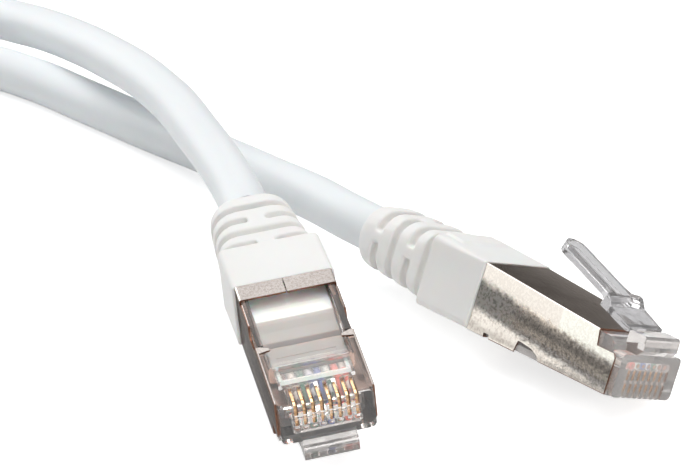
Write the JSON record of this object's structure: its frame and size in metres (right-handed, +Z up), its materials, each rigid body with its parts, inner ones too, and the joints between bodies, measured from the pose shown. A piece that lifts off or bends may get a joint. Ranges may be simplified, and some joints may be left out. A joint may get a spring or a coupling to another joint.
{
  "type": "ethernet patch cable",
  "caption": "Shielded ethernet patch cable: a modular plug with a latch and a white strain relief boot on each end of one round white cord, most of it coiled.",
  "frame": {"origin": "on the ground, at the middle of the footprint of the two plugs with their boots", "axes": "+Z up from the surface the cable lies on; the cord leaves the plugs towards -X; the plugs point roughly towards +X and -Y"},
  "size_m": [0.2174, 0.082, 0.0165],
  "materials": {
    "clear_polycarbonate": "clear, slightly smoky polycarbonate",
    "nickel_shield": "nickel plated sheet, satin",
    "frosted_bar": "frosted translucent white",
    "white_mould": "matte white polyethylene",
    "ferrule_metal": "plated crimp band",
    "cord_jacket": "satin cool white PVC",
    "boot_elastomer": "matte white elastomer",
    "gold_contact": "gold plated",
    "wire_orange_white": "insulated wire",
    "wire_orange": "insulated wire",
    "wire_green_white": "insulated wire",
    "wire_blue": "insulated wire",
    "wire_blue_white": "insulated wire",
    "wire_green": "insulated wire",
    "wire_brown_white": "insulated wire",
    "wire_brown": "insulated wire"
  },
  "bodies": {
    "cable": {"housing_a": "clear_polycarbonate", "shield_a": "nickel_shield", "wire_bar_a": "frosted_bar", "inner_mould_a": "white_mould", "ferrule_a": "ferrule_metal", "jacket_end_a": "cord_jacket", "boot_a": "boot_elastomer", "contact_a1": "gold_contact", "contact_a2": "gold_contact", "contact_a3": "gold_contact", "contact_a4": "gold_contact", "contact_a5": "gold_contact", "contact_a6": "gold_contact", "contact_a7": "gold_contact", "contact_a8": "gold_contact", "conductor_a1": "wire_orange_white", "conductor_a2": "wire_orange", "conductor_a3": "wire_green_white", "conductor_a4": "wire_blue", "conductor_a5": "wire_blue_white", "conductor_a6": "wire_green", "conductor_a7": "wire_brown_white", "conductor_a8": "wire_brown", "housing_b": "clear_polycarbonate", "shield_b": "nickel_shield", "wire_bar_b": "frosted_bar", "inner_mould_b": "white_mould", "ferrule_b": "ferrule_metal", "jacket_end_b": "cord_jacket", "boot_b": "boot_elastomer", "contact_b1": "gold_contact", "contact_b2": "gold_contact", "contact_b3": "gold_contact", "contact_b4": "gold_contact", "contact_b5": "gold_contact", "contact_b6": "gold_contact", "contact_b7": "gold_contact", "contact_b8": "gold_contact", "conductor_b1": "wire_orange_white", "conductor_b2": "wire_orange", "conductor_b3": "wire_green_white", "conductor_b4": "wire_blue", "conductor_b5": "wire_blue_white", "conductor_b6": "wire_green", "conductor_b7": "wire_brown_white", "conductor_b8": "wire_brown", "cord_strand_a": "cord_jacket", "cord_strand_b": "cord_jacket", "cord_coil": "cord_jacket"},
    "latch_a": {"latch_a": "clear_polycarbonate"},
    "latch_b": {"latch_b": "clear_polycarbonate"}
  },
  "joints": [
    {"name": "latch_a_flex", "type": "hinge", "parent": "cable", "child": "latch_a", "pos_m": [0.01007, -0.0192, 0.00421], "axis": [0.56, 0.8197, 0.1203], "range_deg": [0, 14], "stiffness_Nm_per_rad": 0.3},
    {"name": "latch_b_flex", "type": "hinge", "parent": "cable", "child": "latch_b", "pos_m": [0.02544, 0.01853, 0.00913], "axis": [-0.0433, -0.9229, 0.3827], "range_deg": [0, 14], "stiffness_Nm_per_rad": 0.3}
  ]
}
